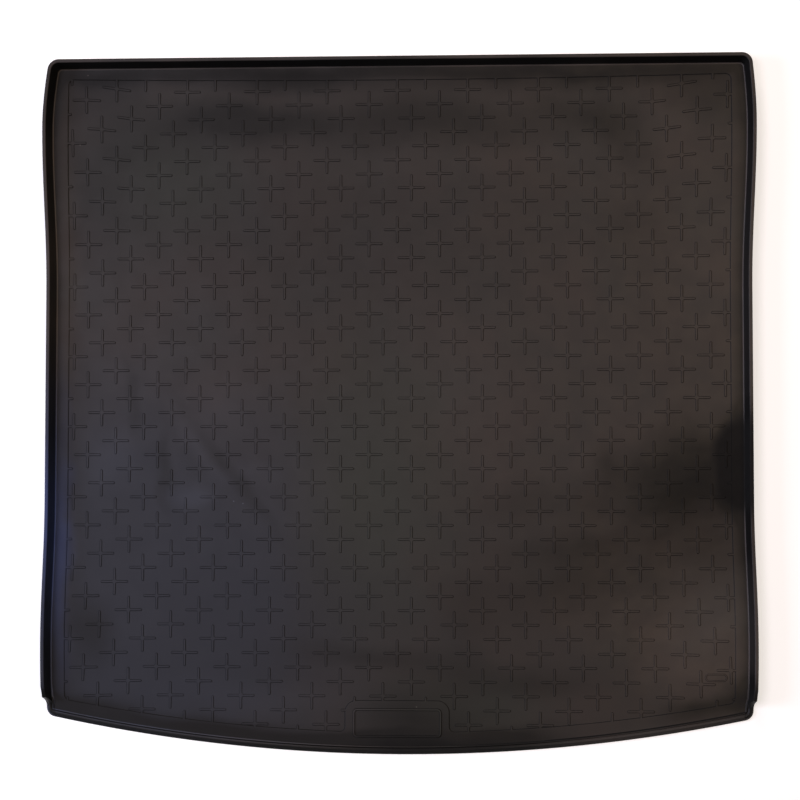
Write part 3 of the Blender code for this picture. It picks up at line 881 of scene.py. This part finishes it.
def spot(tree, place, middle, half_sizes, turn=0.0):
    """One at the middle of an ellipse, softly down to nought at its edge."""
    local = add(tree, "Mapping", {
        "Vector": place,
        "Location": (*middle, 0.0),
        "Rotation": (0.0, 0.0, math.radians(turn)),
        "Scale": (*half_sizes, 1.0),
    }, vector_type="TEXTURE")
    ball = add(tree, "TexGradient", local, output="Fac", gradient_type="SPHERICAL")
    return add(tree, "MapRange", ball, 0.0, 1.0, **SOFT)


def patch_tone(tree, place, patches):
    """Sum of the patches, each its tone times its soft spot."""
    total = 0.0
    for x, y, half_length, half_breadth, turn, tone in patches:
        mask = spot(tree, place, (x, y), (half_length, half_breadth), turn)
        total = add(tree, "Math", mask, tone, total, operation="MULTIPLY_ADD")
    return total


def from_wall(tree, x, y):
    """Distance in plan from the rim's edge: the lesser of the way to the side and to the rear.

    The side stands at half_width(y), less the mean pull towards the rear corner.
    """
    width = HALF_WIDTH
    for rise, middle, span in ((REAR_BULGE, REAR_Y - REAR_BULGE_FROM_REAR, REAR_BULGE_REACH),
                               (FRONT_BULGE, FRONT_Y + FRONT_BULGE_FROM_FRONT, FRONT_BULGE_REACH)):
        turn = math.pi / span
        offset = add(tree, "Math", y, turn, -middle * turn, operation="MULTIPLY_ADD")
        offset = add(tree, "Math", offset, operation="ABSOLUTE")
        offset = add(tree, "Math", offset, math.pi, operation="MINIMUM")
        wave = add(tree, "Math", offset, operation="COSINE")
        wave = add(tree, "Math", wave, rise / 2, rise / 2, operation="MULTIPLY_ADD")
        width = add(tree, "Math", width, wave, operation="ADD")
    past = add(tree, "Math", y, 1 / CORNER_PULL_LENGTH, 1 - REAR_Y / CORNER_PULL_LENGTH,
               operation="MULTIPLY_ADD")
    past = add(tree, "Math", past, 0.0, operation="MAXIMUM")
    past = add(tree, "Math", past, CORNER_PULL_POWER, operation="POWER")
    pull = add(tree, "Math", past, (LEFT_CORNER_PULL + RIGHT_CORNER_PULL) / 2, operation="MULTIPLY")
    side_x = add(tree, "Math", width, pull, operation="SUBTRACT")
    outward = add(tree, "Math", x, operation="ABSOLUTE")
    to_side = add(tree, "Math", side_x, outward, operation="SUBTRACT")
    to_rear = add(tree, "Math", REAR_Y, y, operation="SUBTRACT")
    return add(tree, "Math", to_side, to_rear, operation="MINIMUM")


def from_lip(tree, place):
    """Distance in plan from the lip's edge: its radius less the way to the middle of its circle."""
    middle = (0.0, FRONT_Y + FRONT_EDGE_RADIUS, 0.0)
    plan = add(tree, "VectorMath", place, IN_PLAN, operation="MULTIPLY")
    away = add(tree, "VectorMath", plan, middle, output="Value", operation="DISTANCE")
    return add(tree, "Math", FRONT_EDGE_RADIUS, away, operation="SUBTRACT")


def margin_tone(tree, height, wall, lip, at_right):
    """Shade of the margin beside the wall and behind the lip. The second one fades at the right."""
    beside_wall = add(tree, "MapRange", wall, MARGIN_FROM_RIM, MARGIN_FROM_RIM + MARGIN_SHADE_REACH,
                      MARGIN_SHADE, 0.0, **SOFT)
    low = add(tree, "MapRange", height, *MARGIN_HEIGHTS, **SOFT)
    beside_wall = add(tree, "Math", beside_wall, low, operation="MULTIPLY")
    behind_lip = add(tree, "MapRange", lip, MARGIN_FROM_LIP, MARGIN_FROM_LIP + LIP_MARGIN_REACH,
                     LIP_MARGIN_SHADE, 0.0, **SOFT)
    fade = add(tree, "Math", at_right, -LIP_MARGIN_FADE, 1.0, operation="MULTIPLY_ADD")
    behind_lip = add(tree, "Math", behind_lip, fade, operation="MULTIPLY")
    past_lip = add(tree, "MapRange", lip, *LIP_END, **SOFT)
    return add(tree, "Math", behind_lip, past_lip, beside_wall, operation="MULTIPLY_ADD")


def lip_light_and_shade(tree, lip, at_right):
    """Painted shade and highlights of the lip, left + (right - left) * share at the right, and how much
    of its painted shade line it is.
    """
    left = LIP_SHADE
    for line, line_tone in LIP_HIGHLIGHTS:
        offset = add(tree, "Math", lip, line, operation="SUBTRACT")
        offset = add(tree, "Math", offset, operation="ABSOLUTE")
        near = add(tree, "MapRange", offset, LIP_LINE_REACH, 0.0, **SOFT)
        left = add(tree, "Math", near, line_tone, left, operation="MULTIPLY_ADD")
    shade_line = between(tree, lip, *LIP_SHADE_LINE)
    right = add(tree, "Math", shade_line, LIP_SHADE_LINE_TONE, LIP_RIGHT_TONE, operation="MULTIPLY_ADD")
    change = add(tree, "Math", right, left, operation="SUBTRACT")
    tone = add(tree, "Math", at_right, change, left, operation="MULTIPLY_ADD")
    return tone, add(tree, "Math", shade_line, at_right, operation="MULTIPLY")


def shape_light_and_shade(tree, place):
    """Painted light and shade from the place on the moulding, and how much of a steep side or of the
    lip's painted shade line it is.
    """
    x, y, height = add(tree, "SeparateXYZ", place).node.outputs
    at_right = add(tree, "MapRange", x, *RIGHT_PART, **SOFT)
    wall = from_wall(tree, x, y)
    lip = from_lip(tree, place)
    on_wall = add(tree, "MapRange", wall, *WALL_END[::-1], **SOFT)
    past_wall = add(tree, "MapRange", wall, *WALL_END, **SOFT)
    past_rim = add(tree, "MapRange", wall, *LIP_FROM_RIM, **SOFT)
    before_end = add(tree, "MapRange", lip, *LIP_END[::-1], **SOFT)
    past_lip = add(tree, "MapRange", lip, *FLOOR_FROM_LIP, **SOFT)
    rim = add(tree, "MapRange", height, *RIM_HEIGHTS, **SOFT)
    frame_top = add(tree, "MapRange", height, *FRAME_TOP_HEIGHTS, **SOFT)
    sides = [between(tree, height, *heights) for heights in SIDE_HEIGHTS]
    side = add(tree, "Math", *sides, operation="ADD")
    foot = between(tree, height, *FOOT_HEIGHTS)
    face = between(tree, height, *FACE_HEIGHTS)
    on_lip = add(tree, "Math", before_end, past_rim, operation="MULTIPLY")
    on_floor = add(tree, "Math", past_wall, past_lip, operation="MULTIPLY")
    foot = add(tree, "Math", foot, on_wall, operation="MULTIPLY")
    face = add(tree, "Math", face, on_wall, operation="MULTIPLY")
    frame_top = add(tree, "Math", frame_top, on_floor, operation="MULTIPLY")
    side = add(tree, "Math", side, on_floor, operation="MULTIPLY")
    # painted shade and highlights of the lip
    beads, shade_line = lip_light_and_shade(tree, lip, at_right)
    tone = margin_tone(tree, height, wall, lip, at_right)
    # painted shade on margin, wall and sides, painted highlights on rim, foot, frame top and lip
    for share, own_tone in ((on_lip, beads), (frame_top, FRAME_TOP_HIGHLIGHT), (face, WALL_SHADE),
                            (rim, RIM_HIGHLIGHT), (foot, FOOT_HIGHLIGHT), (side, SIDE_SHADE)):
        tone = add(tree, "Math", share, own_tone, tone, operation="MULTIPLY_ADD")
    return tone, add(tree, "Math", shade_line, on_lip, side, operation="MULTIPLY_ADD")


def rubber_and_painted_light_colour(tree, flat, clouds):
    """The rubber's colour: two browns by turns and the greener places, mixed with painted cool light at
    the front left and on the left margin.
    """
    hue = add(tree, "ValToRGB", clouds)
    for element, position, colour in zip(hue.node.color_ramp.elements, NOISE_RANGE, BROWNS):
        element.position = position
        element.color = linear(colour)
    # painted cool light at the front left
    cool_light = spot(tree, flat, COOL_LIGHT_PLACE[:2], COOL_LIGHT_PLACE[2:])
    masks = [(add(tree, "MapRange", cool_light, 0.0, COOL_LIGHT_FULL_FROM, **SOFT), COOL_LIGHT_COLOUR)]
    for place, colour in TINTED_AND_LIT_PLACES:
        masks.append((spot(tree, flat, place[:2], place[2:]), colour))
    for mask, colour in masks:
        hue = add(tree, "Mix", {"Factor": mask, "A": hue, "B": linear(colour)}, output="Result",
                  data_type="RGBA")
    return hue


def moulded_black_rubber():
    """Compression-moulded black rubber: matt, with a soft sheen and a fine even grain.

    Cloudy patches make it slightly browner by turns and a little smoother or duller. Soft patches of
    painted sheen and shade lighten and darken it, and painted cool light turns it bluer at the front
    left. The steep sides of ribs and steps are duller and carry painted shade, so they draw thin dark
    lines.
    """
    material, tree = new_material("moulded_black_rubber")
    place = add(tree, "TexCoord", output="Object")
    clouds, wipes, waves, grain = (
        add(tree, "TexNoise", {"Vector": place, "Scale": 1 / size, "Detail": detail,
                               "Roughness": roughness}, output="Fac")
        for size, detail, roughness in (CLOUDS, WIPES, WAVES, GRAIN))
    shift = add(tree, "VectorMath", clouds.node.outputs["Color"], NOISE_MEAN, operation="SUBTRACT")
    moved = add(tree, "VectorMath", shift, PATCH_SHIFT, place, operation="MULTIPLY_ADD")
    flat = add(tree, "VectorMath", moved, IN_PLAN, operation="MULTIPLY")
    # painted sheen and shade in soft patches
    patches = patch_tone(tree, flat, SHEEN_AND_SHADE_PATCHES)
    specks = patch_tone(tree, place, [(x, y, SPECK_SIZE, SPECK_SIZE, 0, SPECK_TONE) for x, y in SPECKS])
    # painted light and shade from the shape of the moulding
    shape, side = shape_light_and_shade(tree, place)
    tone = add(tree, "Math", patches, shape, operation="ADD")
    tone = add(tree, "Math", tone, 1.0, operation="ADD")
    tone = add(tree, "Math", tone, LOWEST_TONE, operation="MAXIMUM")
    tone = add(tree, "Math", tone, specks, operation="ADD")
    shade = add(tree, "VectorMath", {0: rubber_and_painted_light_colour(tree, flat, clouds), "Scale": tone},
                operation="SCALE")
    dull = add(tree, "MapRange", wipes, *NOISE_RANGE, *ROUGHNESS, **SOFT)
    dull = add(tree, "Math", side, SIDE_DULLNESS, dull, operation="MULTIPLY_ADD")
    duller = add(tree, "MapRange", patches, *DARK_PATCH_TONES, 0.0, DARK_PATCH_DULLNESS, **SOFT)
    dull = add(tree, "Math", dull, duller, operation="ADD")
    valley = spot(tree, flat, VALLEY[:2], VALLEY[2:])
    lie = add(tree, "Math", waves, WAVE_HEIGHT, operation="MULTIPLY")
    lie = add(tree, "Math", valley, -VALLEY_DEPTH, lie, operation="MULTIPLY_ADD")
    sag = add(tree, "Bump", {"Height": lie, "Strength": 1.0, "Distance": 1.0})
    relief = add(tree, "Bump", {"Height": grain, "Strength": GRAIN_STRENGTH, "Distance": GRAIN_DEPTH,
                                "Normal": sag})
    shader = add(tree, "BsdfPrincipled", {
        "Base Color": shade,
        "Roughness": dull,
        "Normal": relief,
        "Specular IOR Level": SHEEN,
    })
    add(tree, "OutputMaterial", {"Surface": shader})
    return material


def white_to_sight(tree):
    """One where a ray comes from the camera, a reflection or a transmission, else nought."""
    path = add(tree, "LightPath").node.outputs
    seen = add(tree, "Math", path["Is Camera Ray"], path["Is Glossy Ray"], operation="MAXIMUM")
    return add(tree, "Math", seen, path["Is Transmission Ray"], operation="MAXIMUM")


def pale_paper():
    """Pale matt studio paper, lifted to white where it is seen.

    The lift grows from near the mat, where the lamps whiten the paper and the mat's shadow shows,
    to a full white beyond the lamps' reach.
    """
    material, tree = new_material("pale_paper")
    place = add(tree, "TexCoord", output="Object")
    away = add(tree, "VectorMath", place, output="Value", operation="LENGTH")
    lift = add(tree, "MapRange", away, *PAPER_GLOW_GROWS, PAPER_NEAR_GLOW, 1.0, **SOFT)
    paper = add(tree, "BsdfDiffuse", {"Color": linear(PAPER_COLOUR)})
    glow = add(tree, "Emission", {"Color": linear("#ffffff"), "Strength": lift})
    both = add(tree, "AddShader", paper, glow)
    mixed = add(tree, "MixShader", white_to_sight(tree), paper, both)
    add(tree, "OutputMaterial", {"Surface": mixed})
    return material


def studio_paper():
    """A wide paper floor that turns up into a low backdrop all round."""
    ring = arc((0, 0), PAPER_RADIUS, 0, 360, PAPER_SIDES)[:-1]
    low = np.column_stack([ring, np.full(len(ring), PAPER_Z)])
    high = low + (0, 0, PAPER_RISE)
    faces = band_faces(2, len(ring))[:, ::-1].tolist()
    faces.append(list(range(len(ring))))
    paper = mesh_object("studio_paper", np.vstack([low, high]), faces)
    paper.data.materials.append(pale_paper())


def studio_world():
    """A dim even surround, so that what faces away from the lamps stays dark."""
    world = bpy.data.worlds.new("studio")
    world.use_nodes = True
    world.node_tree.nodes.clear()
    dim = add(world.node_tree, "Background", {"Color": linear(SURROUND_COLOUR),
                                              "Strength": SURROUND_STRENGTH})
    add(world.node_tree, "OutputWorld", {"Surface": dim})
    bpy.context.scene.world = world


def softbox(name, place, size, power, colour):
    """A square area lamp aimed at the mat's middle, out of the camera's sight."""
    data = bpy.data.lights.new(name, "AREA")
    data.shape = "SQUARE"
    data.size = size
    data.energy = power
    data.color = linear(colour)[:3]
    lamp = bpy.data.objects.new(name, data)
    lamp.location = place
    lamp.rotation_euler = (-Vector(place)).to_track_quat("-Z", "Y").to_euler()
    lamp.visible_camera = False
    bpy.context.scene.collection.objects.link(lamp)


def photograph_camera():
    """The camera at the photograph's place, almost straight above the mat."""
    data = bpy.data.cameras.new("camera")
    data.sensor_width = CAMERA_SENSOR
    data.lens = CAMERA_LENS
    camera = bpy.data.objects.new("camera", data)
    camera.location = CAMERA_PLACE
    camera.rotation_euler = [math.radians(angle) for angle in CAMERA_TURN]
    bpy.context.scene.collection.objects.link(camera)
    bpy.context.scene.camera = camera


field = field_outline()
mat = tray()
combined(mat, recess(field), "DIFFERENCE")
combined(mat, raised_pattern(field), "UNION")
mat.data.shade_smooth()
mat.data.set_sharp_from_angle(angle=math.radians(SHARP_EDGE_DEGREES))
even = mat.modifiers.new("even_normals", "WEIGHTED_NORMAL")
even.mode = "FACE_AREA"
even.weight = FLAT_FACE_WEIGHT
even.keep_sharp = True
mat.data.materials.clear()
mat.data.materials.append(moulded_black_rubber())
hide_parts("cargo_mat")
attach(mat, "root")

photograph_camera()
studio_paper()
studio_world()
for settings in SOFTBOXES:
    softbox(*settings)
bpy.context.scene.view_settings.view_transform = "Standard"
